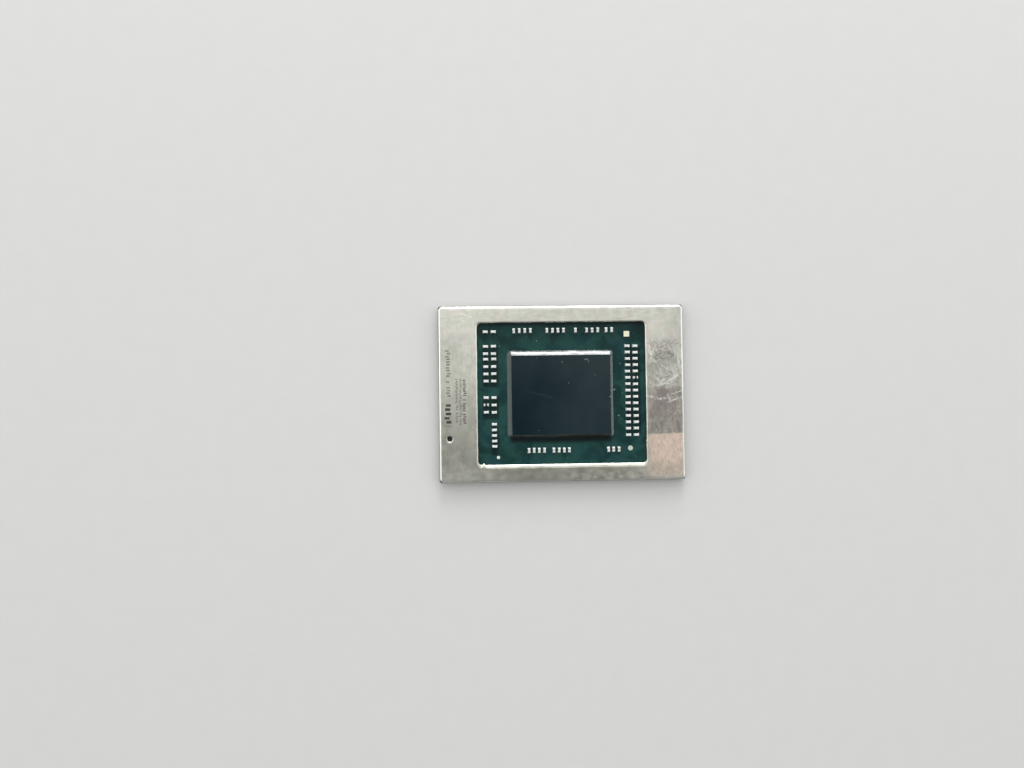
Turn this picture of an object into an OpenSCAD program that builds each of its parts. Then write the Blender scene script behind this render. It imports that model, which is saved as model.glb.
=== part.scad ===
// Lidless flip-chip ball grid array package with a metal stiffener ring.
// Millimetres. Origin: centre of the package, on the plane that the solder balls stand on.
// +X runs along the long side, +Y to the back, +Z up through the die.

/* [Package] */
// Length of the package, left to right
package_l = 35; // [34:0.5:38]
// Width of the package, front to back
package_w = 25; // [24.5:0.5:28]

/* [Substrate] */
// Thickness of the laminate with its solder mask
substrate_t = 0.54; // [0.4:0.02:0.9]
// Radius of the substrate's routed corners
substrate_corner_r = 0.3; // [0.1:0.1:0.5]
// Depth of the openings in the solder mask
mask_t = 0.02; // [0.01:0.005:0.04]
// Gap all round between a bare pad and the solder mask
mask_gap = 0.06; // [0.02:0.02:0.16]

/* [Stiffener ring] */
// Thickness of the ring's metal
ring_t = 0.4; // [0.35:0.05:0.8]
// Step in from the substrate's edge to the ring's edge
ring_inset = 0.05; // [0.05:0.05:0.4]
// Width of the left and right bars
side_bar_w = 5.45; // [4.95:0.05:5.95]
// Width of the front and back bars
end_bar_w = 2.42; // [2.02:0.05:2.77]
// Radius of the ring's outer corners
ring_corner_r = 0.55; // [0.35:0.05:1.5]
// Radius of the window's corners
window_corner_r = 0.6; // [0.3:0.05:1.2]
// Radius that stamping rolled onto the top edges
edge_roll_r = 0.26; // [0.1:0.02:0.3]
// Diameter of the index hole near the front left corner
index_hole_d = 0.75; // [0.4:0.05:1.2]
// Index hole's centre from the ring's left edge
index_hole_from_left = 1.45; // [1.2:0.05:3]
// Index hole's centre from the ring's front edge
index_hole_from_front = 6.15; // [3:0.05:9]

/* [Ring adhesive] */
// Thickness of the glue line under the ring
adhesive_t = 0.06; // [0.03:0.01:0.15]
// Setback of the glue line from the ring's edges
adhesive_setback = 0.12; // [0.05:0.01:0.3]
// Diameter of the beads squeezed out into the window
bead_d = 0.42; // [0.34:0.02:0.6]

/* [Die] */
// Length of the silicon die
die_l = 14.15; // [12:0.05:15.5]
// Width of the silicon die
die_w = 11.3; // [9:0.05:12.6]
// Thickness of the silicon die
die_t = 0.46; // [0.3:0.02:0.8]
// Die centre right of the package centre
die_x = -0.1; // [-0.4:0.05:0.4]
// Die centre behind the package centre
die_y = -0.25; // [-0.4:0.05:0.4]

/* [Bumps and underfill] */
// Height of the bumps that carry the die
bump_h = 0.06; // [0.04:0.01:0.1]
// Diameter of a bump
bump_d = 0.12; // [0.08:0.02:0.3]
// Spacing of the bumps
bump_pitch = 0.8; // [0.6:0.1:2]
// Least distance from the outer bumps to the die's edge
bump_margin = 0.6; // [0.3:0.1:1.5]
// Width of the underfill's foot around the die
fillet_w = 0.46; // [0.2:0.02:0.8]
// Height of the die's side left bare above the underfill
fillet_below_top = 0.04; // [0.02:0.02:0.2]
// Thickness of the underfill at its outer edge
fillet_toe_t = 0.02; // [0.01:0.01:0.05]
// Sag of the underfill's face below a straight slope
fillet_sag = 0.05; // [0.02:0.01:0.08]

/* [Chip capacitors] */
// Length of a capacitor
cap_l = 0.6; // [0.5:0.05:0.7]
// Width of a capacitor
cap_w = 0.32; // [0.25:0.01:0.5]
// Height of a capacitor
cap_h = 0.3; // [0.2:0.02:0.36]
// Length of the metal terminal at each end
terminal_l = 0.18; // [0.1:0.02:0.22]
// Thickness of the terminal's metal
terminal_t = 0.015; // [0.01:0.005:0.03]
// Solder left under the terminals
solder_t = 0.03; // [0.02:0.01:0.06]
// Reach of the solder beyond each end
solder_toe = 0.1; // [0.05:0.01:0.18]
// Height of the solder up each end
solder_climb = 0.2; // [0.1:0.02:0.22]

/* [Capacitor banks] */
// Left bank's outer column from the window's left edge
left_bank_inset = 1.2; // [0.8:0.05:1.6]
// Right bank's outer column from the window's right edge
right_bank_inset = 1.4; // [0.8:0.05:1.6]
// Back bank's row from the window's back edge
back_bank_inset = 1.07; // [0.7:0.01:1.3]
// Front bank's row from the window's front edge
front_bank_inset = 1.91; // [1:0.01:2]
// Spacing of the two columns in a side bank
column_gap = 1.12; // [1.1:0.02:1.3]
// Spacing of the rows in the left bank
left_step = 1.04; // [0.9:0.02:1.06]
// Spacing of the single column at the left bank's front end
left_front_step = 0.78; // [0.7:0.01:0.82]
// Spacing of the rows in the right bank
right_step = 0.907; // [0.8:0.001:0.95]
// Spacing along the back bank
back_step = 0.79; // [0.7:0.01:0.85]
// Spacing along the front bank
front_step = 0.74; // [0.6:0.01:0.8]

/* [Bare pads] */
// Side of the gold square at the back right
gold_pad_side = 0.76; // [0.4:0.02:0.9]
// Gold square's centre from the window's right edge
gold_pad_from_right = 2.58; // [1.5:0.02:3.2]
// Gold square's centre from the window's back edge
gold_pad_from_back = 1.66; // [1.2:0.02:1.8]
// Diameter of the round mark at the front right
round_mark_d = 0.62; // [0.4:0.02:0.8]
// Round mark's centre from the window's right edge
round_mark_from_right = 2.29; // [1.5:0.01:3]
// Round mark's centre from the window's front edge
round_mark_from_front = 2.05; // [1:0.01:2.2]
// Diameter of the small mark at the front left
small_mark_d = 0.36; // [0.3:0.02:0.6]
// Small mark's centre from the window's left edge
small_mark_from_left = 2.83; // [1.5:0.01:3.5]
// Small mark's centre from the window's front edge
small_mark_from_front = 1; // [0.6:0.01:1.2]
// Thickness of a bare pad's metal
pad_t = 0.015; // [0.01:0.005:0.03]

/* [Solder balls] */
// Diameter of a solder ball
ball_d = 0.45; // [0.4:0.01:0.6]
// Height of the substrate above the plane the balls stand on
ball_standoff = 0.32; // [0.26:0.01:0.36]
// Spacing of the balls
ball_pitch = 0.8; // [0.75:0.05:1.27]
// Least distance from the outer balls' centres to the package's edge
ball_margin = 0.85; // [0.6:0.05:1.5]
// Length of the bare field at the middle of the underside
bare_field_l = 9.6; // [0:0.8:16]
// Width of the bare field at the middle of the underside
bare_field_w = 8; // [0:0.8:12]

/* [Hidden] */
$fn = 64;

// Heights of the stacked layers
substrate_top = ball_standoff + substrate_t;
ring_floor = substrate_top + adhesive_t;
die_floor = substrate_top + bump_h;
die_top = die_floor + die_t;
pad_floor = substrate_top - mask_t;

// Half sizes of the ring and of its window
ring_half_l = package_l / 2 - ring_inset;
ring_half_w = package_w / 2 - ring_inset;
window_half_l = ring_half_l - side_bar_w;
window_half_w = ring_half_w - end_bar_w;

// Extra length that carries a cutter clear of the face it cuts
through = 1;

// Centres of the bare pads
gold_pad_at = [window_half_l - gold_pad_from_right, window_half_w - gold_pad_from_back];
round_mark_at = [window_half_l - round_mark_from_right, round_mark_from_front - window_half_w];
small_mark_at = [small_mark_from_left - window_half_l, small_mark_from_front - window_half_w];

// A bank's groups of capacitors: the group's middle, in steps from the package centre, and its count
left_groups = [[8.5, 1], [6, 2], [3.25, 4], [-1.5, 3]];
left_front_groups = [[-7.55, 5]];
right_groups = [[0.3, 15]];
back_groups = [[-7.05, 4], [-1.05, 4], [2.6, 1], [5.65, 3], [8.7, 2]];
front_groups = [[-5, 4], [-0.2, 4], [9.85, 3]];

// Distances along a bank of every capacitor in its groups
function places(groups, step) =
  [for (g = groups, k = [0 : g[1] - 1]) (g[0] + k - (g[1] - 1) / 2) * step];

// A bank is a list of [x, y, turn] for its capacitors
left_x = left_bank_inset - window_half_l;
right_x = window_half_l - right_bank_inset;
left_bank = concat(
  [for (y = places(left_groups, left_step), c = [0, 1]) [left_x + c * column_gap, y, 0]],
  [for (y = places(left_front_groups, left_front_step)) [left_x + column_gap, y, 0]]
);
right_bank = [for (y = places(right_groups, right_step), c = [0, 1]) [right_x - c * column_gap, y, 0]];
back_bank = [for (x = places(back_groups, back_step)) [x, window_half_w - back_bank_inset, 90]];
front_bank = [for (x = places(front_groups, front_step)) [x, front_bank_inset - window_half_w, 90]];

// Solder ball grid
ball_columns = floor((package_l - 2 * ball_margin) / ball_pitch) + 1;
ball_rows = floor((package_w - 2 * ball_margin) / ball_pitch) + 1;
function grid_at(k, count, pitch) = (k - (count - 1) / 2) * pitch;
function ball_at(i, j) = [grid_at(i, ball_columns, ball_pitch), grid_at(j, ball_rows, ball_pitch)];
function at_end(k, count) = k == 0 || k == count - 1;
function is_corner(i, j) = at_end(i, ball_columns) && at_end(j, ball_rows);
function in_bare_field(p) = abs(p[0]) < bare_field_l / 2 && abs(p[1]) < bare_field_w / 2;
function third(k, count) = floor(3 * k / count);

// Bump grid under the die
bump_columns = floor((die_l - 2 * bump_margin) / bump_pitch) + 1;
bump_rows = floor((die_w - 2 * bump_margin) / bump_pitch) + 1;

// Plate with true round corners, standing on z = 0
module rounded_plate(l, w, r, h) {
  linear_extrude(h) square([l - 2 * r, w], center = true);
  for (s = [-1, 1]) translate([s * (l / 2 - r / 2), 0, 0])
    linear_extrude(h) square([r, w - 2 * r], center = true);
  for (a = [0 : 3]) rotate(90 * a)
    translate(a % 2 == 0 ? [l / 2 - r, w / 2 - r, 0] : [w / 2 - r, l / 2 - r, 0])
      rotate_extrude(angle = 90) square([r, h]);
}

// ---- Substrate and its bare pads ----

module substrate() color("darkgreen") difference() {
  translate([0, 0, ball_standoff])
    rounded_plate(package_l, package_w, substrate_corner_r, substrate_t);
  translate([gold_pad_at[0], gold_pad_at[1], pad_floor + through / 2])
    cube([gold_pad_side + 2 * mask_gap, gold_pad_side + 2 * mask_gap, through], center = true);
  translate([round_mark_at[0], round_mark_at[1], pad_floor])
    cylinder(h = through, d = round_mark_d + 2 * mask_gap);
  translate([small_mark_at[0], small_mark_at[1], pad_floor])
    cylinder(h = through, d = small_mark_d + 2 * mask_gap);
}

module gold_corner_pad() color("gold")
  translate([gold_pad_at[0], gold_pad_at[1], pad_floor + pad_t / 2])
    cube([gold_pad_side, gold_pad_side, pad_t], center = true);

module fiducial(at, d) color("khaki")
  translate([at[0], at[1], pad_floor]) cylinder(h = pad_t, d = d);

// ---- Stiffener ring and its glue line ----

// Section of a bar, from x = 0 to w, with its top edge rolled at x = w, and at x = 0 too if both
module rolled_section(w, both = false) {
  start = both ? edge_roll_r : 0;
  square([w, ring_t - edge_roll_r]);
  translate([start, 0]) square([w - start - edge_roll_r, ring_t]);
  translate([w - edge_roll_r, ring_t - edge_roll_r]) quarter_disc(edge_roll_r);
  if (both) translate([edge_roll_r, ring_t - edge_roll_r]) mirror([1, 0]) quarter_disc(edge_roll_r);
}

module quarter_disc(r) intersection() {
  circle(r);
  square(2 * r);
}

// Straight piece of bar, its section standing along +X and running from y = -l/2 to l/2
module rolled_bar(w, l, both = false)
  translate([0, l / 2, 0]) rotate([90, 0, 0]) linear_extrude(l) rolled_section(w, both);

// The corner between a side bar and an end bar, with its window corner's centre at the origin
module ring_corner() {
  span_x = side_bar_w + window_corner_r;
  span_y = end_bar_w + window_corner_r;
  lip_w = 1.5 * edge_roll_r;
  lip = window_corner_r + lip_w;
  inner_x = span_x - ring_corner_r;
  inner_y = span_y - ring_corner_r;
  difference() {
    cube([inner_x, inner_y, ring_t]);
    translate([0, 0, -through]) cylinder(h = ring_t + 2 * through, r = lip);
  }
  rotate_extrude(angle = 90) translate([lip, 0]) mirror([1, 0]) rolled_section(lip_w);
  translate([inner_x, inner_y / 2, 0]) rolled_bar(ring_corner_r, inner_y);
  translate([inner_x / 2, inner_y, 0]) rotate(90) rolled_bar(ring_corner_r, inner_x);
  translate([inner_x, inner_y, 0]) rotate_extrude(angle = 90) rolled_section(ring_corner_r);
}

module stiffener_ring() color("silver") translate([0, 0, ring_floor]) difference() {
  union() {
    straight_x = window_half_l - window_corner_r;
    straight_y = window_half_w - window_corner_r;
    for (s = [0, 180]) rotate(s) {
      translate([window_half_l, 0, 0]) rolled_bar(side_bar_w, 2 * straight_y, true);
      translate([0, window_half_w, 0]) rotate(90) rolled_bar(end_bar_w, 2 * straight_x, true);
    }
    for (mx = [0, 1], my = [0, 1]) mirror([mx, 0, 0]) mirror([0, my, 0])
      translate([straight_x, straight_y, 0]) ring_corner();
  }
  translate([index_hole_from_left - ring_half_l, index_hole_from_front - ring_half_w, -through])
    cylinder(h = ring_t + 2 * through, d = index_hole_d);
}

// Glue line, with beads squeezed out at the window's front left and front right corners
module ring_adhesive() color("dimgray") translate([0, 0, substrate_top]) {
  glue_half_l = window_half_l + adhesive_setback;
  glue_half_w = window_half_w + adhesive_setback;
  linear_extrude(adhesive_t) difference() {
    square([2 * (ring_half_l - adhesive_setback), 2 * (ring_half_w - adhesive_setback)], center = true);
    square([2 * glue_half_l, 2 * glue_half_w], center = true);
  }
  for (at = [[-glue_half_l + 2 * bead_d, -glue_half_w], [glue_half_l, -glue_half_w + 6 * bead_d]])
    translate([at[0], at[1], 0]) cylinder(h = adhesive_t, d = bead_d);
}

// ---- Die, its bumps and the underfill ----

module die() color("midnightblue")
  translate([die_x, die_y, die_floor + die_t / 2]) cube([die_l, die_w, die_t], center = true);

module bump_field(h) translate([die_x, die_y, 0])
  for (i = [0 : bump_columns - 1], j = [0 : bump_rows - 1])
    translate([grid_at(i, bump_columns, bump_pitch), grid_at(j, bump_rows, bump_pitch), 0])
      cylinder(h = h, d = bump_d, $fn = 24);

module die_bumps() color("lightgray") translate([0, 0, substrate_top]) bump_field(bump_h);

// Section of the fillet against the die's side at x = 0: a slope hollowed by one arc
module fillet_section() {
  h = die_top - fillet_below_top - substrate_top;
  rise = h - fillet_toe_t;
  chord = norm([fillet_w, rise]);
  hollow_r = (chord * chord / 4 + fillet_sag * fillet_sag) / (2 * fillet_sag);
  out = (hollow_r - fillet_sag) / chord;
  difference() {
    polygon([[0, 0], [fillet_w, 0], [fillet_w, fillet_toe_t], [0, h]]);
    translate([fillet_w / 2 + rise * out, (h + fillet_toe_t) / 2 + fillet_w * out])
      circle(hollow_r, $fn = 96);
  }
}

module fillet_wall(l) translate([0, l / 2, 0]) rotate([90, 0, 0]) linear_extrude(l) fillet_section();

module underfill() color("darkslategray") translate([die_x, die_y, substrate_top]) {
  difference() {
    translate([0, 0, bump_h / 2]) cube([die_l, die_w, bump_h], center = true);
    translate([-die_x, -die_y, -through]) bump_field(bump_h + 2 * through);
  }
  for (s = [0, 180]) rotate(s) {
    translate([die_l / 2, 0, 0]) fillet_wall(die_w);
    translate([0, die_w / 2, 0]) rotate(90) fillet_wall(die_l);
    translate([die_l / 2, die_w / 2, 0]) rotate_extrude(angle = 90) fillet_section();
    translate([-die_l / 2, die_w / 2, 0]) rotate(90) rotate_extrude(angle = 90) fillet_section();
  }
}

// ---- Chip capacitors ----

module at_each(bank) for (p = bank) translate([p[0], p[1], substrate_top]) rotate(p[2]) children();

// The ceramic, as it lies inside the terminals' metal
module ceramic_block() translate([0, 0, solder_t + cap_h / 2])
  cube([cap_l - 2 * terminal_t, cap_w - 2 * terminal_t, cap_h - 2 * terminal_t], center = true);

module capacitor_bodies(bank) color("tan") at_each(bank) ceramic_block();

module capacitor_terminals(bank) color("whitesmoke") at_each(bank) for (s = [0, 180]) rotate(s)
  difference() {
    translate([cap_l / 2 - terminal_l, -cap_w / 2, solder_t]) cube([terminal_l, cap_w, cap_h]);
    ceramic_block();
  }

// Solder under one terminal and up its end
module solder_joint() translate([cap_l / 2 - terminal_l, cap_w / 2, 0]) rotate([90, 0, 0])
  linear_extrude(cap_w) polygon([
    [0, 0], [terminal_l + solder_toe, 0], [terminal_l, solder_climb], [terminal_l, solder_t], [0, solder_t]
  ]);

module capacitor_solder(bank) color("silver") at_each(bank) for (s = [0, 180]) rotate(s) solder_joint();

// ---- Solder balls ----

module solder_ball() intersection() {
  translate([0, 0, ball_d / 2]) sphere(d = ball_d, $fn = 32);
  translate([-ball_d, -ball_d, ball_standoff - 2 * ball_d]) cube(2 * ball_d);
}

module corner_balls() color("gainsboro")
  for (i = [0, ball_columns - 1], j = [0, ball_rows - 1]) translate(ball_at(i, j)) solder_ball();

// One ninth of the grid, without the package's corner balls and its bare field
module ball_field(column_third, row_third) color("gainsboro")
  for (i = [0 : ball_columns - 1], j = [0 : ball_rows - 1])
    if (third(i, ball_columns) == column_third && third(j, ball_rows) == row_third)
      if (!is_corner(i, j) && !in_bare_field(ball_at(i, j)))
        translate(ball_at(i, j)) solder_ball();

substrate();
gold_corner_pad();
fiducial(round_mark_at, round_mark_d);  // round_fiducial
fiducial(small_mark_at, small_mark_d);  // small_fiducial
ring_adhesive();
stiffener_ring();
die();
die_bumps();
underfill();
capacitor_bodies(left_bank);  // left_capacitor_bodies
capacitor_terminals(left_bank);  // left_capacitor_terminals
capacitor_solder(left_bank);  // left_capacitor_solder
capacitor_bodies(back_bank);  // back_capacitor_bodies
capacitor_terminals(back_bank);  // back_capacitor_terminals
capacitor_solder(back_bank);  // back_capacitor_solder
capacitor_bodies(right_bank);  // right_capacitor_bodies
capacitor_terminals(right_bank);  // right_capacitor_terminals
capacitor_solder(right_bank);  // right_capacitor_solder
capacitor_bodies(front_bank);  // front_capacitor_bodies
capacitor_terminals(front_bank);  // front_capacitor_terminals
capacitor_solder(front_bank);  // front_capacitor_solder
corner_balls();
ball_field(0, 0);  // front_left_balls
ball_field(1, 0);  // front_middle_balls
ball_field(2, 0);  // front_right_balls
ball_field(0, 1);  // middle_left_balls
ball_field(1, 1);  // centre_balls
ball_field(2, 1);  // middle_right_balls
ball_field(0, 2);  // back_left_balls
ball_field(1, 2);  // back_middle_balls
ball_field(2, 2);  // back_right_balls
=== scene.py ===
"""Looks of a lidless ball grid array package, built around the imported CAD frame.

Lengths are millimetres unless a name ends in _m; a piece becomes metres when it is made.
+X runs along the long side, +Y to the back and +Z up; the origin lies under the package's centre.
"""
import math
import random

import bmesh
import bpy
import numpy as np
from mathutils import Euler, Matrix, Quaternion, Vector, noise
from mathutils.geometry import delaunay_2d_cdt


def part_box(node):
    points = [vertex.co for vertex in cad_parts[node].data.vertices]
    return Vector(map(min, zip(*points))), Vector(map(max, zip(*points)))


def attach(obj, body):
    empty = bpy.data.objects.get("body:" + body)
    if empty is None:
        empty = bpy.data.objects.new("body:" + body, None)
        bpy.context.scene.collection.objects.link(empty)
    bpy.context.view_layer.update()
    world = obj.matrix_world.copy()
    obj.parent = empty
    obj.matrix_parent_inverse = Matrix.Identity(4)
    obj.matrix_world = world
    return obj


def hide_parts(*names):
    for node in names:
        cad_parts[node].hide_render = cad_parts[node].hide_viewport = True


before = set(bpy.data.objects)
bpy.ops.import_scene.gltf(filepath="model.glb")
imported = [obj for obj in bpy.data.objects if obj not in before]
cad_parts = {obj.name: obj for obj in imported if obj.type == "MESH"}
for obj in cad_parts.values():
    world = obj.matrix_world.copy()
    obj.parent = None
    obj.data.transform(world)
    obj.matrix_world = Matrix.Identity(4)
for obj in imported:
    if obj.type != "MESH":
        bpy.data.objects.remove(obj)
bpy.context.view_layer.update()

MM = 0.001
TINY = 1e-4
BALL_FIELDS = (
    "corner_balls", "front_left_balls", "front_middle_balls", "front_right_balls", "middle_left_balls",
    "centre_balls", "middle_right_balls", "back_left_balls", "back_middle_balls", "back_right_balls",
)


# ---- Reading the frame ----

def box_of(node):
    """Lowest and highest corner of a CAD node."""
    low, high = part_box(node)
    return low / MM, high / MM


def points_of(node):
    """All vertices of a CAD node, as rows of an array."""
    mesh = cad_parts[node].data
    flat = np.empty(3 * len(mesh.vertices))
    mesh.vertices.foreach_get("co", flat)
    return flat.reshape(-1, 3) / MM


def solids_of(node):
    """(lowest, highest) corner of every separate solid in a CAD node."""
    points = points_of(node)
    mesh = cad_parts[node].data
    edges = np.empty(2 * len(mesh.edges), np.int64)
    mesh.edges.foreach_get("vertices", edges)
    _, same = np.unique(np.round(points / TINY).astype(np.int64), axis=0, return_inverse=True)
    same = same.ravel()
    ends = same[edges].reshape(-1, 2)
    group = np.arange(same.max() + 1)
    while True:
        low = np.minimum(group[ends[:, 0]], group[ends[:, 1]])
        merged = group.copy()
        np.minimum.at(merged, ends[:, 0], low)
        np.minimum.at(merged, ends[:, 1], low)
        merged = merged[merged]
        if (merged == group).all():
            break
        group = merged
    owner = group[same]
    order = np.argsort(owner, kind="stable")
    starts = np.flatnonzero(np.r_[True, np.diff(owner[order]) > 0])
    lows = np.minimum.reduceat(points[order], starts)
    highs = np.maximum.reduceat(points[order], starts)
    return [(Vector(a), Vector(b)) for a, b in zip(lows, highs)]


def reach(node, start, direction):
    """Where a straight line from start first meets a CAD node."""
    hit, at, _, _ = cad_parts[node].ray_cast(Vector(start) * MM, Vector(direction))
    if not hit:
        raise ValueError(f"nothing of {node} lies that way")
    return at / MM


# ---- Mesh tools ----

def outline(half_l, half_w, r, step, turns=8, centre=(0, 0)):
    """Points round a rectangle with round corners, each with the direction that faces outwards."""
    pairs = []
    for k in range(4):
        angle = k * math.pi / 2
        out = Vector((math.cos(angle), math.sin(angle)))
        along = Vector((-out.y, out.x))
        far, run = (half_l, half_w - r) if k % 2 == 0 else (half_w, half_l - r)
        count = math.ceil(2 * run / step) if run > TINY else 0
        for i in range(count):
            pairs.append((Vector(centre) + out * far + along * run * (2 * i / count - 1), out))
        middle = Vector(centre) + out * (far - r) + along * run
        for i in range(turns):
            turn = angle + math.pi / 2 * i / turns
            facing = Vector((math.cos(turn), math.sin(turn)))
            pairs.append((middle + facing * r, facing))
    return pairs


def sweep(bm, pairs, section):
    """Carries section(point, facing), a list of (outward, height), round an outline; gives its loops."""
    loops = []
    for at, out in pairs:
        loops.append([bm.verts.new((*(at + out * s), z)) for s, z in section(at, out)])
    count = len(loops)
    for i in range(count):
        here, there = loops[i], loops[(i + 1) % count]
        for j in range(len(here) - 1):
            bm.faces.new((here[j], there[j], there[j + 1], here[j + 1]))
    return [list(loop) for loop in zip(*loops)]


def fill(bm, loops):
    """Fills the flat region between closed loops, the first one outermost, with triangles."""
    verts = [v for loop in loops for v in loop]
    flat = [Vector((v.co.x, v.co.y)) for v in verts]
    edges, start = [], 0
    for loop in loops:
        n = len(loop)
        edges += [(start + i, start + (i + 1) % n) for i in range(n)]
        start += n
    ends = np.array([[*flat[a], *flat[b]] for a, b in edges])
    spots, _, faces, sources, _, _ = delaunay_2d_cdt(flat, edges, [], 0, TINY / 10)
    for face in faces:
        x, y = np.mean([spots[i][:] for i in face], axis=0)
        spans = (ends[:, 1] > y) != (ends[:, 3] > y)
        x0, y0, x1, y1 = ends[spans].T
        crossings = np.count_nonzero(x < x0 + (y - y0) * (x1 - x0) / (y1 - y0))
        if crossings % 2 == 1:
            bm.faces.new([verts[sources[i][0]] for i in face])


def quarter(r_out, r_up, at_out, at_up, steps):
    """(outward, height) pairs of an elliptic quarter turn, from facing outwards to facing up."""
    turns = [math.pi / 2 * k / steps for k in range(steps + 1)]
    return [(at_out + r_out * math.cos(t), at_up + r_up * math.sin(t)) for t in turns]


def wave(at, length, seed):
    """Smooth noise from about -1 to 1, with bumps of the given length."""
    return noise.noise(Vector((at[0] / length, at[1] / length, seed * 7.3)))


def bulge(at, humps):
    """Sum of smooth humps (x, y, radius, size), each gone some two radii from its middle."""
    return sum(size * math.exp(-((at[0] - x) ** 2 + (at[1] - y) ** 2) / (r * r)) for x, y, r, size in humps)


def close(bm, *swept, ends=(-1, 0)):
    """Fills the flat ends of swept outlines, the outermost one first."""
    for end in ends:
        fill(bm, [loops[end] for loops in swept])


def shape_of(bm):
    """(vertices, faces) of a mesh, to stamp elsewhere; frees the mesh."""
    bm.verts.index_update()
    shape = [v.co.copy() for v in bm.verts], [[v.index for v in f.verts] for f in bm.faces]
    bm.free()
    return shape


def rounded_box(size, r, segments=2):
    """A box standing on z = 0, with its edges rounded, as a shape to stamp."""
    bm = bmesh.new()
    bmesh.ops.create_cube(bm, size=1)
    bmesh.ops.scale(bm, vec=size, verts=bm.verts)
    bmesh.ops.translate(bm, vec=(0, 0, size[2] / 2), verts=bm.verts)
    bmesh.ops.bevel(bm, geom=bm.edges[:], offset=r, segments=segments, profile=0.5, affect="EDGES")
    return shape_of(bm)


def stamp(bm, shape, matrix, material=0):
    """Adds a copy of a shape, placed by a matrix."""
    made = [bm.verts.new(matrix @ v) for v in shape[0]]
    for face in shape[1]:
        bm.faces.new([made[i] for i in face]).material_index = material


def tube(bm, points, r):
    """A thin round strand through the points, with tapered closed ends."""
    sides = 8
    end_share = 0.45
    rings = []
    last = len(points) - 1
    for i, p in enumerate(points):
        run = (points[min(i + 1, last)] - points[max(i - 1, 0)]).normalized()
        across = run.cross(Vector((0, 0, 1))).normalized()
        lift = across.cross(run)
        size = r * (end_share if i in (0, last) else 1)
        turns = [2 * math.pi * k / sides for k in range(sides)]
        rings.append([bm.verts.new(p + size * (across * math.cos(t) + lift * math.sin(t))) for t in turns])
    for a, b in zip(rings, rings[1:]):
        for k in range(sides):
            bm.faces.new((a[k], a[(k + 1) % sides], b[(k + 1) % sides], b[k]))
    bm.faces.new(rings[0])
    bm.faces.new(rings[-1][::-1])


def piece(name, bm, looks, slot=None, replaced=None, sharp_deg=38):
    """Turns a mesh in millimetres into a piece of the package, with its material; the slot argument is not
    used.
    """
    bmesh.ops.recalc_face_normals(bm, faces=bm.faces)
    mesh = bpy.data.meshes.new(name)
    bm.to_mesh(mesh)
    bm.free()
    mesh.transform(Matrix.Scale(MM, 4))
    mesh.shade_smooth()
    mesh.set_sharp_from_angle(angle=math.radians(sharp_deg))
    for look in looks if isinstance(looks, list) else [looks]:
        mesh.materials.append(look)
    obj = bpy.data.objects.new(name, mesh)
    bpy.context.scene.collection.objects.link(obj)
    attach(obj, "root")
    if replaced:
        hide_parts(replaced)


# ---- Material tools ----

class Nodes:
    """Adds nodes to a tree. A value is a number, a colour, a vector or the output of another node."""

    def __init__(self, tree):
        self.tree = tree

    def new(self, kind):
        return self.tree.nodes.new("ShaderNode" + kind)

    def feed(self, value, socket):
        if isinstance(value, bpy.types.NodeSocket):
            self.tree.links.new(value, socket)
        elif isinstance(value, tuple) and socket.type == "RGBA":
            socket.default_value = (*value, 1)
        else:
            socket.default_value = value

    def axes(self, place):
        node = self.new("SeparateXYZ")
        self.feed(place, node.inputs[0])
        return node.outputs

    def vector(self, operation, *values, scale=None):
        node = self.new("VectorMath")
        node.operation = operation
        for value, socket in zip(values, node.inputs):
            self.feed(value, socket)
        if scale is not None:
            self.feed(scale, node.inputs["Scale"])
        return node.outputs["Vector"]

    def calc(self, operation, *values):
        node = self.new("Math")
        node.operation = operation
        for value, socket in zip(values, node.inputs):
            self.feed(value, socket)
        return node.outputs[0]

    def chain(self, operation, values):
        total = values[0]
        for value in values[1:]:
            total = self.calc(operation, total, value)
        return total

    def add(self, *terms):
        """Sum of the terms, each a value or (value, weight)."""
        return self.chain("ADD", [self.times(*term) if isinstance(term, tuple) else term for term in terms])

    def times(self, *values):
        return self.chain("MULTIPLY", values)

    def most(self, *values):
        return self.chain("MAXIMUM", values)

    def less(self, value, taken):
        return self.calc("SUBTRACT", value, taken)

    def rest(self, value):
        """What is left of 1."""
        return self.calc("SUBTRACT", 1, value)

    def size(self, value):
        return self.calc("ABSOLUTE", value)

    def length(self, dx, dy):
        return self.calc("SQRT", self.add((dx, dx), (dy, dy)))

    def step(self, value, low, high, start=0.0, end=1.0):
        """A smooth step from start to end, as value goes from low to high."""
        node = self.new("MapRange")
        node.interpolation_type = "SMOOTHSTEP"
        for given, socket in zip((value, low, high, start, end), node.inputs):
            self.feed(given, socket)
        return node.outputs[0]


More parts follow.
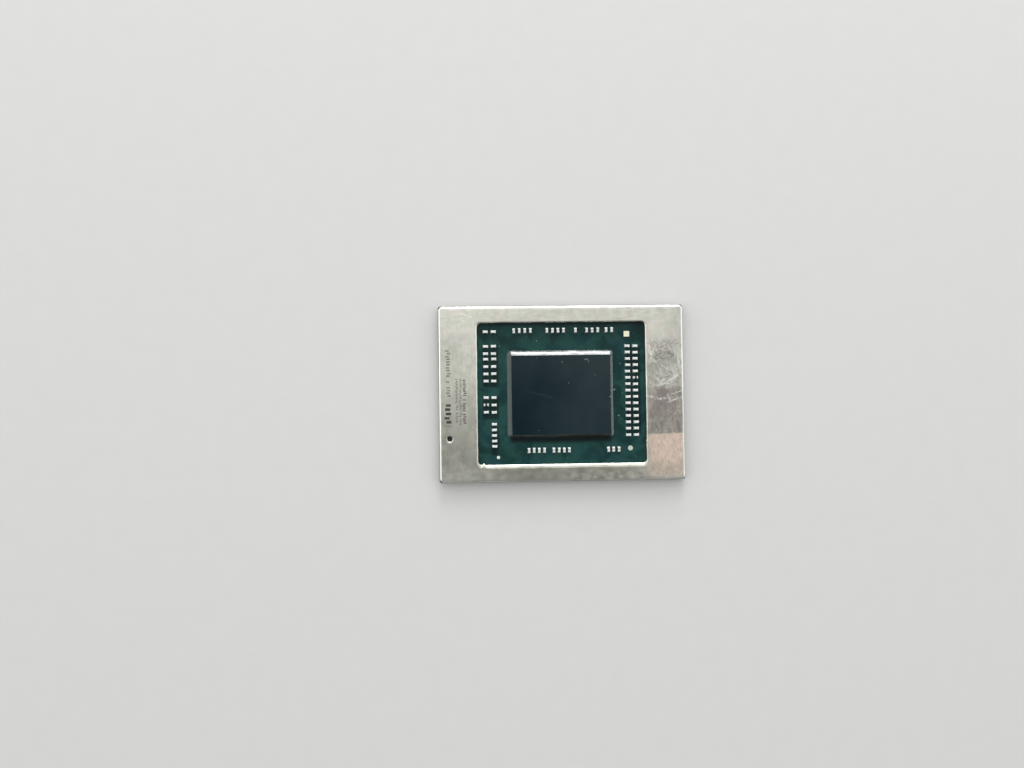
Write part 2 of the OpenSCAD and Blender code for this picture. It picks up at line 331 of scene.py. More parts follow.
class Look(Nodes):
    """One node material. Its textures and masks are measured in millimetres from the frame's origin."""

    def __init__(self, name, **constants):
        self.material = bpy.data.materials.new(name)
        self.material.use_nodes = True
        super().__init__(self.material.node_tree)
        self.shader = self.tree.nodes["Principled BSDF"]
        for socket, value in constants.items():
            self.shader.inputs[socket.replace("_", " ")].default_value = value
        place = self.new("TexCoord").outputs["Object"]
        self.at = self.vector("SCALE", place, scale=1 / MM)
        self.x, self.y, self.z = self.axes(self.at)

    def mix(self, amount, first, second):
        node = self.new("Mix")
        node.data_type = "RGBA"
        self.feed(amount, node.inputs[0])
        self.feed(first, node.inputs[6])
        self.feed(second, node.inputs[7])
        return node.outputs[2]

    def over(self, colour, laid, *masks):
        """A colour with another laid over it, as far as the product of the masks."""
        return self.mix(self.times(*masks), colour, laid)

    def shade(self, colour, factor):
        """A colour made lighter or darker by a factor."""
        return self.vector("SCALE", colour, scale=factor)

    def stretched(self, stretch, shift):
        return self.vector("MULTIPLY_ADD", self.at, stretch, shift)

    def noise(self, per_mm, detail=3.0, roughness=0.5, stretch=(1, 1, 1), shift=(0, 0, 0), bend=0.0):
        node = self.new("TexNoise")
        self.feed(self.stretched(stretch, shift), node.inputs["Vector"])
        for socket, value in (("Scale", per_mm), ("Detail", detail), ("Roughness", roughness),
                              ("Distortion", bend)):
            node.inputs[socket].default_value = value
        return node.outputs["Fac"]

    def specks(self, per_mm, edge, core, low, high, shift=(0, 0, 0)):
        """1 on those of many scattered points whose own number passes from low to high."""
        node = self.new("TexVoronoi")
        self.feed(self.stretched((1, 1, 1), shift), node.inputs["Vector"])
        node.inputs["Scale"].default_value = per_mm
        own = self.new("SeparateColor")
        self.feed(node.outputs["Color"], own.inputs[0])
        near = self.step(node.outputs["Distance"], edge, core)
        return self.times(near, self.step(own.outputs[0], low, high))

    def chance(self, *values):
        """A random number from 0 to 1 for each set of whole numbers."""
        join = self.new("CombineXYZ")
        for value, socket in zip(values, join.inputs):
            self.feed(value, socket)
        node = self.new("TexWhiteNoise")
        self.feed(join.outputs[0], node.inputs["Vector"])
        return node.outputs["Value"]

    def own_number(self):
        """A random number from 0 to 1 for each separate part of the mesh."""
        return self.new("NewGeometry").outputs["Random Per Island"]

    def between(self, value, low, high, soft=0.1):
        """1 where value lies from low to high, with soft ends."""
        rise = self.step(value, low - soft, low + soft)
        return self.times(rise, self.step(value, high - soft, high + soft, 1, 0))

    def patch(self, low, high, soft=0.1, x=None, y=None):
        """1 inside a rectangle from corner low to corner high."""
        in_x = self.between(x or self.x, low[0], high[0], soft)
        return self.times(in_x, self.between(y or self.y, low[1], high[1], soft))

    def spot(self, at, r, soft=0.5, wobble=None):
        """1 inside a round or oval spot; r is a number or a pair, soft a share of it."""
        rx, ry = r if isinstance(r, tuple) else (r, r)
        dx = self.times(self.less(self.x, at[0]), 1 / rx)
        dy = self.times(self.less(self.y, at[1]), 1 / ry)
        away = self.length(dx, dy)
        if wobble is not None:
            away = self.add(away, wobble)
        return self.step(away, 1 - soft, 1 + soft, 1, 0)

    def streak(self, start, end, width):
        """1 along a straight line, fading over the width and at its ends."""
        a, b = Vector(start), Vector(end)
        run = (b - a).normalized()
        dx, dy = self.less(self.x, a.x), self.less(self.y, a.y)
        along = self.add((dx, run.x), (dy, run.y))
        across = self.size(self.add((dx, -run.y), (dy, run.x)))
        length = (b - a).length
        return self.times(self.step(across, 0, width, 1, 0), self.between(along, 0, length, length / 4))

    def bump(self, height, strength, distance):
        """Relief from a height of 0 to 1; distance is what 1 stands for."""
        node = self.new("Bump")
        node.inputs["Strength"].default_value = strength
        node.inputs["Distance"].default_value = distance * MM
        self.feed(height, node.inputs["Height"])
        return node.outputs[0]

    def finish(self, colour, roughness, normal):
        for value, socket in ((colour, "Base Color"), (roughness, "Roughness"), (normal, "Normal")):
            self.feed(value, self.shader.inputs[socket])
        return self.material


# ---- Shared measures ----

ring_low, ring_high = box_of("stiffener_ring")
substrate_low, substrate_high = box_of("substrate")
die_low, die_high = box_of("die")
die_middle = (die_low + die_high) / 2
die_half = (die_high - die_low) / 2
fillet_top = box_of("underfill")[1].z

# The window is measured a little below the middle of the ring's height, where its wall is upright
wall_at = Vector((0, 0, (ring_low.z + ring_high.z) / 2 - 0.1))
window_l = reach("stiffener_ring", wall_at, (1, 0, 0)).x
window_w = reach("stiffener_ring", wall_at, (0, 1, 0)).y

RING_CORNER_R = 0.55
WINDOW_CORNER_R = 0.6
DIE_CORNER_R = 0.02

# The ring's index hole is all that its mesh holds on the flat of the left bar
BAR_EDGE = 0.9
ring_points = points_of("stiffener_ring")
rim = ring_points[
    (ring_points[:, 0] > ring_low.x + BAR_EDGE) & (ring_points[:, 0] < -window_l - BAR_EDGE)
    & (np.abs(ring_points[:, 1]) < window_w - BAR_EDGE)
]
hole_at = Vector((rim[:, 0].min() + rim[:, 0].max(), rim[:, 1].min() + rim[:, 1].max())) / 2
hole_r = (rim[:, 0].max() - rim[:, 0].min()) / 2


# ---- Materials ----

# Pale scratches on the ring: start, end and width
RING_SCRATCHES = (
    ((12.3, -0.55), (14.3, -1.1), 0.25), ((13.4, -1.0), (14.9, -0.9), 0.275),
    ((15.1, -0.4), (15.5, -1.3), 0.25), ((15.2, -1.5), (17.2, -0.7), 0.2), ((15.3, -0.5), (17.2, 0.15), 0.15),
    ((13.6, 1.9), (14.6, 0.9), 0.25), ((14.1, 1.5), (14.9, 1.9), 0.225), ((14.9, 1.3), (17.0, 2.6), 0.375),
    ((13.2, 0.9), (15.9, 1.3), 0.3125), ((12.5, 6.9), (12.8, 5.2), 0.375), ((12.9, 5.8), (12.7, 4.4), 0.275),
    ((15.8, 3.2), (16.4, 2.0), 0.25), ((13.9, 3.6), (14.4, 2.6), 0.175), ((16.6, 5.6), (16.9, 3.4), 0.25),
    ((-14.5, 11.6), (-12.5, 10.8), 0.225), ((-15.2, 9.6), (-13.6, 10.4), 0.15),
    ((-14.8, -0.5), (-13.4, 0.9), 0.125), ((-14.3, 0.7), (-13.7, -0.4), 0.1125),
    ((9.0, 11.9), (14.0, 11.2), 0.125),
)

# Plain dashes on the ring: middle, half width, from, to, pitch, share drawn and darkness
DASH_COLUMNS = (
    (-16.18, 0.36, -4.5, -1.2, 0.6, 1.0, 1.0), (-16.18, 0.26, -0.4, 6.4, 0.4, 0.78, 0.6),
    (-14.95, 0.15, -4.4, 2.3, 0.25, 0.85, 0.62), (-14.45, 0.15, -4.4, 2.3, 0.23, 0.8, 0.58),
    (-13.88, 0.2, -4.5, 2.4, 0.3, 0.88, 0.78),
)


def ring_metal():
    """Satin nickel plate: cloudy, finely scratched and stained, with faint generic laser marks; painted shade
    darkens its front and its bore, and a painted highlight makes its outer edges paler.
    """
    look = Look("ring_metal")
    x, y = look.x, look.y
    cloud = look.step(look.noise(0.16, 4, 0.55), 0.34, 0.66)
    mottle = look.step(look.noise(0.85, 5, 0.62, shift=(31, 7, 0)), 0.34, 0.66)
    blush = look.step(look.noise(0.5, 3, 0.6, shift=(12, 3, 5)), 0.4, 0.62)
    grain = look.noise(9, 3, 0.6)
    ragged = look.less(look.noise(1.4, 4, 0.6, shift=(2, 2, 2)), 0.5)

    def torn(value, by):
        """A measure pushed about, so that what it bounds has a ragged edge."""
        return look.add(value, (ragged, by))

    # Brushed along each bar
    on_side_bar = look.step(look.size(y), window_w + 0.4, window_w)
    along_x = look.noise(2.4, 3, 0.65, stretch=(0.22, 4, 1), shift=(3, 0, 0))
    along_y = look.noise(2.4, 3, 0.65, stretch=(4, 0.22, 1), shift=(9, 4, 0))
    streaks = look.add((along_x, look.rest(on_side_bar)), (along_y, on_side_bar))
    streaks = look.step(streaks, 0.36, 0.64)
    shade = look.add(0.78, (cloud, 0.13), (mottle, 0.17), (streaks, 0.11), (grain, 0.08))
    colour = look.shade(look.mix(blush, (0.80, 0.815, 0.715), (0.83, 0.80, 0.735)), shade)

    # Painted shade, partly a dull stain: the ring grows darker towards the front, least at its front corners
    wide = look.size(x)
    spared = look.times(look.step(y, -9.5, -12), look.step(wide, 7, 16, 0.1, 0.85))
    dull_and_painted_shade = look.times(look.step(torn(y, 4), 4.6, -4.6), look.rest(spared))
    colour = look.over(colour, look.shade((0.545, 0.54, 0.47), shade), dull_and_painted_shade, 0.72)
    # Painted shade: an olive darkening over the middle of the front bar
    olive_painted_shade = look.times(look.step(y, -9.8, -10.7), look.step(wide, 11, 6))
    colour = look.over(colour, look.shade((0.42, 0.42, 0.345), shade), olive_painted_shade, 0.42)

    # Half way down the right bar: a brown smear, dark blotches and pale crossing scratches
    on_right_bar = look.step(x, window_l + 0.1, window_l + 0.5)
    dusk = look.times(on_right_bar, look.patch((0, -6.0), (30, 0.7), 0.35, y=torn(y, 1.6)))
    colour = look.over(colour, look.shade((0.60, 0.545, 0.495), shade), dusk, 0.62)
    clots = look.noise(1.2, 5, 0.68, stretch=(1.8, 0.6, 1), shift=(4, 8, 1), bend=1.0)
    colour = look.over(colour, (0.34, 0.30, 0.29), look.times(dusk, look.step(clots, 0.44, 0.64)), 0.72)
    smear = look.spot((14.3, -1.2), (1.2, 2.4), 0.6, look.times(ragged, 2))
    colour = look.over(colour, (0.34, 0.28, 0.27), smear, 0.68)
    blotch = look.times(on_right_bar, look.step(y, -6.5, -5), look.step(y, 8.4, 6.5),
                        look.step(look.noise(1.0, 5, 0.66, bend=1.5), 0.46, 0.6))
    colour = look.over(colour, (0.40, 0.375, 0.35), blotch, 0.56)
    shadow = look.most(look.spot((12.8, 3.4), (0.6, 1.4), 0.6, ragged),
                       look.spot((14.9, 5.1), (1.7, 0.7), 0.5, ragged))
    colour = look.over(colour, (0.40, 0.385, 0.35), shadow, 0.3)
    scratches = look.most(*[look.streak(*scratch) for scratch in RING_SCRATCHES])
    scratches = look.times(scratches, look.step(look.noise(3.2, 3, 0.6, shift=(7, 0, 3)), 0.36, 0.56))
    colour = look.over(colour, (1.0, 0.985, 0.93), scratches, 0.9)

    # A matt warm patch with a sharp upper edge on the right bar, running on along the front bar, darker
    # towards the front
    slanted = look.add(y, (x, -0.03), (ragged, 0.3), 0.4)
    warm_area = look.times(
        look.patch((window_l - 6, -16), (17.25, -6.0), 0.1, y=slanted),
        look.step(torn(x, 1.2), window_l - 0.5, window_l + 1.0),
        look.times(look.step(y, -12.6, -8.6, 0.75, 1), look.step(y, -12.6, -11.4, 0.4, 1)))
    warm_run = look.patch((1, -14), (window_l + 3, -10.9), 1.4, x=torn(x, 3))
    warm = look.most(warm_area, look.times(warm_run, look.step(mottle, 0.2, 0.9), 0.3))
    fine = look.step(look.noise(2.6, 4, 0.65, stretch=(1.6, 0.6, 1)), 0.34, 0.66)
    warm_tone = look.add(0.83, (fine, 0.26), (mottle, 0.08), look.step(y, -9, -11.5, 0, -0.24))
    colour = look.over(colour, look.shade((0.72, 0.575, 0.475), warm_tone), warm, 0.95)

    # Painted highlight: paler along the outer edges, most at the left and the back, where the light catches
    # them
    margin = look.calc("MINIMUM", look.less(ring_high.x, wide), look.less(ring_high.y, look.size(y)))
    tone_mask = look.times(look.step(torn(margin, 0.2), 0.42, 0.12),
                      look.step(look.add(y, (x, -0.3)), -14, 2, 0.35, 0.9))
    colour = look.over(colour, (0.985, 0.98, 0.93), tone_mask)

    marks = look.times(laser_marks(look), look.add(0.8, (mottle, 0.2)))
    colour = look.over(colour, (0.035, 0.032, 0.03), marks)

    # Painted shade: the bore is coloured nearly black
    colour = look.over(colour, (0.01, 0.01, 0.01), look.spot(hole_at, hole_r, 0.04), 0.96)

    covered = look.most(look.times(warm, 0.72), look.times(scratches, 0.35))
    look.feed(look.rest(covered), look.shader.inputs["Metallic"])
    rough = look.add(0.25, (mottle, 0.07), (grain, 0.06), (warm, 0.12), (smear, 0.1), (marks, 0.3))
    relief = look.add((grain, 0.5), (mottle, 0.4), (streaks, 0.25), (marks, -0.6))
    return look.finish(colour, rough, look.bump(relief, 0.35, 0.009))


def laser_marks(look):
    """Columns of plain dashes on the left bar and a faint square of dots on the right one."""
    marks = []
    for across, half_width, low, high, pitch, share, depth in DASH_COLUMNS:
        cell = look.times(look.y, 1 / pitch)
        count = look.calc("FLOOR", cell)
        drawn = look.step(look.chance(count, across), 1 - share, 1 - share + 0.02)
        uneven = look.times(look.less(look.chance(count, across, 5), 0.5), half_width)
        dash = look.add(0.7, (look.chance(count, across, 9), 0.3))
        inside = look.between(look.calc("DIVIDE", look.calc("FRACT", cell), dash), 0.14, 0.86, 0.1)
        column = look.patch((across - half_width, low), (across + half_width, high), 0.05,
                            x=look.add(look.x, uneven))
        marks.append(look.times(drawn, inside, column, depth))
    dot_pitch = 0.24
    column, row = [look.calc("FLOOR", look.times(place, 1 / dot_pitch)) for place in (look.x, look.y)]
    dots = look.times(look.step(look.chance(column, row, 3), 0.5, 0.52),
                      look.patch((13.3, 4.6), (16.1, 7.4), 0.04), look.step(look.y, 7.6, 4.8, 0.2, 0.42))
    return look.most(*marks, dots)


# Painted shade between the capacitors of the two long banks: from and to, in x and in y
PAINTED_GAP_SHADE_AREAS = (
    (-11.3, -9.0, 1.0, 6.6), (-11.3, -9.0, -3.6, -0.6), (-10.1, -9.1, -8.7, -4.6), (9.3, 11.3, -6.0, 6.5),
)


def solder_mask():
    """Dark green solder mask over faint copper runs, with laminate layers at the sides and painted shade
    round the die, the index hole, the ring's back edge and the capacitors.
    """
    look = Look("solder_mask", Specular_IOR_Level=0.16)
    pour = look.noise(0.45, 2, 0.4, shift=(4, 4, 0), bend=0.6)
    patchy = look.noise(0.55, 3, 0.55, shift=(9, 2, 6))
    grain = look.noise(14, 2, 0.5)

    # Copper runs: a fan that spreads from the die, and a comb of straight ones behind and before it
    fan_x, fan_y = look.less(look.x, die_middle.x), look.less(look.y, die_middle.y)
    angle = look.calc("ARCTAN2", fan_y, fan_x)
    away = look.length(fan_x, fan_y)
    weave = look.times(look.calc("FLOOR", look.times(away, 0.8)), 0.37)
    lines = look.calc("SINE", look.add((angle, 150), weave, (pour, 5)))
    shown = look.step(look.noise(0.8, 2, 0.5, shift=(1, 6, 2)), 0.42, 0.62)
    fan = look.times(look.step(lines, 0.25, 0.75), shown)
    comb = look.times(look.step(look.calc("SINE", look.times(look.x, 24)), -0.2, 0.6),
                      look.patch((-6.5, 6.5), (-3.4, 8.0), 0.3))
    runs = look.most(fan, comb)
    base = look.mix(look.step(pour, 0.36, 0.6), (0.0072, 0.035, 0.034), (0.0165, 0.067, 0.060))
    base = look.over(base, (0.011, 0.047, 0.060), look.step(patchy, 0.5, 0.66), 0.6)
    # Painted shade: darker towards the back, where the back bank and the ring's back bar shade the mask
    base = look.shade(base, look.step(look.y, 5.0, 9.6, 1.07, 0.72))
    colour = look.over(base, (0.020, 0.074, 0.066), runs, 0.35)

    # On the upper side, painted shade: the die's shadow before it, the shade under the index hole, and darker
    # bands along the ring's back edge and between the capacitors
    painted_die_and_hole_shade = look.patch((die_low.x - 0.2, die_low.y - 1.05), (die_high.x + 0.1, die_low.y), 0.4,
                       y=look.add(look.y, (pour, 0.5), -0.25))
    painted_die_and_hole_shade = look.most(painted_die_and_hole_shade, look.spot(hole_at, 1.5 * hole_r, 0.1))
    above = look.step(look.z, substrate_high.z - 0.04, substrate_high.z - 0.03)
    colour = look.over(colour, (0.003, 0.005, 0.005), painted_die_and_hole_shade, above, 0.88)
    # Painted shade along the ring's back edge and in the gaps between capacitors
    under_edge = look.patch((-window_l, window_w - 0.35), (window_l, window_w + 1), 0.2)
    painted_edge_and_gap_shade = look.most(under_edge, *[look.patch((a, c), (b, d), 0.16) for a, b, c, d in PAINTED_GAP_SHADE_AREAS])
    colour = look.over(colour, (0.003, 0.010, 0.010), painted_edge_and_gap_shade, above, 0.62)

    speck = look.specks(1.5, 0.08, 0.03, 0.85, 0.88)
    colour = look.over(colour, (0.32, 0.36, 0.33), speck, 0.5)

    # Layers of the laminate, seen at the sides: core, build-up films and the mask above and below
    height = look.less(look.z, substrate_low.z)
    thick = substrate_high.z - substrate_low.z
    weft = look.noise(6, 3, 0.6, stretch=(1, 1, 5))
    core = look.mix(weft, (0.16, 0.15, 0.075), (0.30, 0.28, 0.15))
    stack = look.step(look.calc("SINE", look.times(height, 95)), -0.2, 0.6)
    films = look.mix(stack, (0.045, 0.05, 0.03), (0.12, 0.11, 0.06))
    layers = look.mix(look.between(height, 0.14, thick - 0.14, 0.006), films, core)
    cut = look.between(height, 0.025, thick - 0.045, 0.006)
    colour = look.over(colour, layers, cut)

    # Openings of the mask round the balls, on the underside
    below = look.step(height, 0.02, 0.005)
    colour = look.over(colour, (0.24, 0.16, 0.08), look.times(ball_rings(look), below), 0.55)

    rough = look.add(0.26, (grain, 0.1), (cut, 0.4), (speck, 0.3))
    relief = look.add((runs, 0.8), (grain, 0.2), (pour, 0.4), speck)
    return look.finish(colour, rough, look.bump(relief, 0.4, 0.012))


def ball_rings(look):
    """1 on a narrow ring round every ball of the grid."""
    solids = [solid for field in BALL_FIELDS for solid in solids_of(field)]
    middles = [(low + high) / 2 for low, high in solids]
    columns = sorted({round(m.x, 3) for m in middles})
    pitch = columns[1] - columns[0]
    widest = max(high.x - low.x for low, high in solids) / 2

    def from_ball(place):
        """How far a place lies from the nearest line of balls, in pitches."""
        return look.less(look.calc("FRACT", look.add((place, 1 / pitch), len(columns) % 2 / 2)), 0.5)

    away = look.times(look.length(from_ball(look.x), from_ball(look.y)), pitch)
    margin = Vector((pitch, pitch)) / 2
    far = Vector((max(m.x for m in middles), max(m.y for m in middles))) + margin
    bare = Vector((min(m.x for m in middles if m.x > 0 and abs(m.y) < pitch),
                   min(m.y for m in middles if m.y > 0 and abs(m.x) < pitch))) - margin
    in_grid = look.times(look.patch(-far, far, 0.02), look.rest(look.patch(-bare, bare, 0.02)))
    return look.times(look.between(away, 0.9 * widest, 1.12 * widest, 0.012), in_grid)


def silicon():
    """Polished back of the die: nearly black, with smudges, a bluish haze and chips at its right edge, and a
    painted reflection that makes it lighter to the right and towards the back.
    """
    look = Look("silicon", Specular_IOR_Level=0.2, IOR=1.5)
    haze = look.noise(0.22, 3, 0.5, shift=(1, 9, 0))
    smudge = look.noise(0.8, 5, 0.62, stretch=(1, 2.2, 1), shift=(6, 3, 0))
    # Painted reflection: lighter to the right and towards the back, mixed with a random haze
    bright = look.add(look.step(look.x, -9, 7), (look.step(haze, 0.35, 0.65), 0.35),
                      look.step(look.y, 1, 6, 0, 0.25))
    colour = look.mix(look.step(bright, 0.1, 1.5), (0.0015, 0.013, 0.018), (0.019, 0.034, 0.041))
    hair = look.streak((-4.6, 0.2), (-1.2, -0.7), 0.22)
    colour = look.over(colour, (0.05, 0.08, 0.09), hair, 0.15)
    speck = look.specks(1.3, 0.05, 0.02, 0.93, 0.95, shift=(5, 0, 0))
    colour = look.over(colour, (0.3, 0.33, 0.36), speck, 0.3)
    ragged = look.noise(4.5, 3, 0.6)
    edge = look.times(look.step(look.x, die_high.x - 0.09, die_high.x - 0.03), look.step(ragged, 0.36, 0.56))
    colour = look.over(colour, (0.22, 0.25, 0.26), edge, 0.5)
    rough = look.add(0.07, (look.step(smudge, 0.45, 0.75), 0.14), (edge, 0.4), (speck, 0.4))
    return look.finish(colour, rough, look.bump(look.add(smudge, (edge, ragged)), 0.08, 0.01))


def resin():
    """Underfill: glossy dark grey-green resin; painted highlight makes it paler along its crest and, with
    some chipping, at its right, and painted shade darkens its front and its left.
    """
    look = Look("underfill", Specular_IOR_Level=0.57, IOR=1.75)
    flow = look.noise(0.7, 4, 0.6)
    grain = look.noise(8, 3, 0.6)
    at_front = look.step(look.y, die_low.y + 0.02, die_low.y - 0.06)
    at_left = look.step(look.x, die_low.x + 0.02, die_low.x - 0.06)
    at_right = look.step(look.x, die_high.x - 0.02, die_high.x + 0.06)
    colour = look.mix(look.step(flow, 0.35, 0.65), (0.022, 0.036, 0.034), (0.042, 0.062, 0.057))
    # Painted shade: darker on the front slope, which faces away from the light, and on the left side
    colour = look.over(colour, (0.006, 0.009, 0.008), at_front, 0.8)
    colour = look.over(colour, (0.004, 0.030, 0.028), at_left, 0.85)
    # Partly chipping, partly painted highlight: paler at the right
    colour = look.over(colour, (0.12, 0.155, 0.158), at_right, 0.8)
    # Painted highlight: paler along the crest, most at the right and the front left
    ragged = look.step(look.noise(2.2, 3, 0.6), 0.3, 0.62, 0.35, 1)
    crest = look.times(look.step(look.z, fillet_top - 0.16, fillet_top - 0.03), ragged)
    right = look.step(look.x, die_high.x - 0.05, die_high.x + 0.02)
    front_left = look.times(look.step(look.y, die_low.y + 0.05, die_low.y - 0.02),
                            look.step(look.x, 0, -7, 0.35, 1))
    on_crest = look.times(crest, look.add(0.08, (right, 0.3), (front_left, 0.4)))
    colour = look.over(colour, (0.42, 0.46, 0.44), look.add(on_crest, look.times(right, ragged, 0.3)))

    # Duller where the resin is dusty, at the left and in front
    rough = look.add(0.11, (flow, 0.1), (crest, 0.06), (at_left, 0.22), (at_front, 0.3))
    return look.finish(colour, rough, look.bump(look.add(flow, (grain, 0.2)), 0.2, 0.012))


def ceramic(name, pale, deep):
    """Fired ceramic between a capacitor's terminals."""
    look = Look(name, Specular_IOR_Level=0.5)
    fired = look.noise(6, 4, 0.6)
    colour = look.mix(look.add((fired, 0.6), (look.own_number(), 0.4)), pale, deep)
    return look.finish(colour, look.add(0.3, (fired, 0.2)), look.bump(fired, 0.2, 0.004))


def bright_metal(name, pale, deep, rough, metallic=1.0, detail=5.0, dimple=0.004):
    """Tin plate or solder: bright, softly crinkled, a little different on every part."""
    look = Look(name, Metallic=metallic)
    frost = look.noise(detail, 4, 0.62)
    fine = look.noise(4 * detail, 3, 0.6, shift=(3, 1, 2))
    own_share = 0.3
    tone_mask = look.add((look.step(frost, 0.35, 0.7), 1 - own_share), (look.own_number(), own_share))
    relief = look.add(frost, (fine, 0.4))
    return look.finish(look.mix(tone_mask, pale, deep), look.add(rough, (fine, 0.14)),
                       look.bump(relief, 0.35, dimple))


def plated(name, pale, deep, metallic, mark_at=None):
    """A bare pad: matt plate, on a round mark with a paler ring round its middle."""
    look = Look(name, Metallic=metallic)
    frost = look.step(look.noise(7, 4, 0.65), 0.3, 0.7)
    mark, rim = 0.0, 1.0
    if mark_at is not None:
        mark_r = 0.25
        core = look.spot(mark_at, 0.5 * mark_r, 0.5, frost)
        mark = look.times(look.spot(mark_at, 1.25 * mark_r, 0.3), core)
        rim = look.spot(mark_at, 1.45 * mark_r, 0.18)
    tone_mask = look.add((frost, 0.5), (mark, 0.5), look.rest(rim))
    return look.finish(look.mix(look.step(tone_mask, 0, 1), pale, deep), look.add(0.36, (frost, 0.15)),
                       look.bump(look.add(frost, mark), 0.3, 0.004))


def glue():
    """Cured ring adhesive: nearly black, with a soft uneven gloss."""
    look = Look("adhesive", Specular_IOR_Level=0.5)
    flow = look.noise(1.6, 4, 0.6)
    colour = look.mix(flow, (0.018, 0.019, 0.02), (0.045, 0.047, 0.048))
    return look.finish(colour, look.add(0.25, (flow, 0.3)), look.bump(flow, 0.5, 0.02))


def lint():
    """Pale dust and fibres."""
    look = Look("dust", Specular_IOR_Level=0.3)
    fuzz = look.noise(12, 4, 0.7)
    colour = look.mix(fuzz, (0.62, 0.66, 0.66), (0.34, 0.38, 0.38))
    return look.finish(colour, look.add(0.6, (fuzz, 0.3)), look.bump(fuzz, 0.5, 0.01))


def paper():
    """The plain pale floor."""
    look = Look("floor", Specular_IOR_Level=0.15)
    tooth = look.noise(0.35, 3, 0.5)
    colour = look.mix(tooth, (0.755, 0.755, 0.75), (0.785, 0.785, 0.78))
    return look.finish(colour, look.add(0.75, (tooth, 0.1)), look.bump(tooth, 0.05, 0.05))


# ---- Pieces ----

def make_ring(material):
    """Stamped ring: rolled top edges, a slightly wavy window, burrs and the index hole."""
    roll_up, steps, land, foot = 0.25, 9, 0.03, 0.02
    bottom, top = ring_low.z, ring_high.z
    burrs = ((-window_l + 0.75, -window_w, 0.19, 0.22), (window_l, -7.0, 0.12, 0.1),
             (window_l, -7.6, 0.35, 0.06))

    def outer(at, out):
        slack = 0.012 * wave(at, 1.7, 1)
        from_corner = min(1, (ring_high.x - abs(at.x)) / 1.2)
        roll = (0.32 + 0.26 * max(0, out.y) ** 2 * from_corner) * (1 + 0.1 * wave(at, 2.3, 2))
        arc = quarter(roll, roll_up, slack - roll, top - roll_up, steps)
        return [(slack - foot, bottom), (slack, bottom + foot), *arc, (slack - roll - land, top)]

    def inner(at, out):
        """The front edge is flatter than round, as if chamfered."""
        slack = (0.032 if out.x < -0.5 else 0.013) * wave(at, 1.1, 3) + 0.04 * abs(out.y)
        slack -= bulge(at, burrs)
        roll = 0.28 - 0.04 * out.x + (0.24 if out.y < 0 else -0.08) * out.y ** 2
        roll *= 1 + 0.1 * wave(at, 1.9, 4)
        flat = 0.75 * min(0, out.y) ** 2
        arc = []
        for k, (s, z) in enumerate(quarter(roll, roll_up, 0, top - roll_up, steps)):
            arc.append((slack + (1 - flat) * (roll - s) + flat * roll * k / steps,
                        (1 - flat) * z + flat * (top - roll_up * (1 - k / steps))))
        return [(slack + foot, bottom), (slack, bottom + foot), *arc, (slack + roll + land, top)]

    def hole(at, out):
        flare, flare_up = 0.26 - 0.12 * out.y, 0.22
        arc = [(flare - s, z) for s, z in quarter(flare, flare_up, 0, top - flare_up, 8)]
        return [(0, bottom), *arc, (flare + land, top)]

    bm = bmesh.new()
    outside = sweep(bm, outline(ring_high.x, ring_high.y, RING_CORNER_R, 0.4, 12), outer)
    inside = sweep(bm, outline(window_l, window_w, WINDOW_CORNER_R, 0.12, 10), inner)
    bore_r = hole_r - 0.05
    drilled = sweep(bm, outline(bore_r, bore_r, bore_r, 1, 12, hole_at), hole)
    close(bm, outside, inside, drilled)
    piece("stiffener_ring_metal", bm, material, "ring_metal", "stiffener_ring")


def make_glue(material):
    """Glue line under the ring, squeezed out a little all round and in two beads."""
    bottom, top = substrate_high.z, ring_low.z
    middle = (bottom + top) / 2
    beads = ((-window_l + 0.72, -window_w, 0.3, 0.16), (window_l, -7.2, 0.45, 0.14))

    def outer(at, out):
        edge = -0.1 + 0.05 * wave(at, 1.3, 5)
        return [(edge, bottom), (edge + 0.03, middle), (edge, top)]

    def inner(at, out):
        edge = 0.1 + 0.05 * wave(at, 0.9, 6) - bulge(at, beads)
        return [(edge - 0.02, bottom), (edge - 0.03, middle), (edge, top)]

    bm = bmesh.new()
    outside = sweep(bm, outline(ring_high.x, ring_high.y, RING_CORNER_R, 0.6, 6), outer)
    inside = sweep(bm, outline(window_l, window_w, WINDOW_CORNER_R, 0.25, 6), inner)
    close(bm, outside, inside)
    piece("ring_glue_line", bm, material, "adhesive", "ring_adhesive")


def make_die(material):
    """Silicon block with crisp edges, chipped along the right one."""
    bevel = 0.012

    def side(at, out):
        from_corner = min(1, max(0, die_half.y - abs(at.y - die_middle.y) - DIE_CORNER_R) / 0.5)
        chip = max(0, wave(at, 0.35, 8) - 0.12) * (0.16 * from_corner if out.x > 0.9 else 0)
        drop = bevel + 0.8 * chip
        return [(0, die_low.z), (0, die_high.z - drop), (-bevel - chip, die_high.z)]

    bm = bmesh.new()
    close(bm, sweep(bm, outline(die_half.x, die_half.y, DIE_CORNER_R, 0.12, 2, die_middle.xy), side))
    piece("silicon_die", bm, material, "silicon", "die", sharp_deg=25)


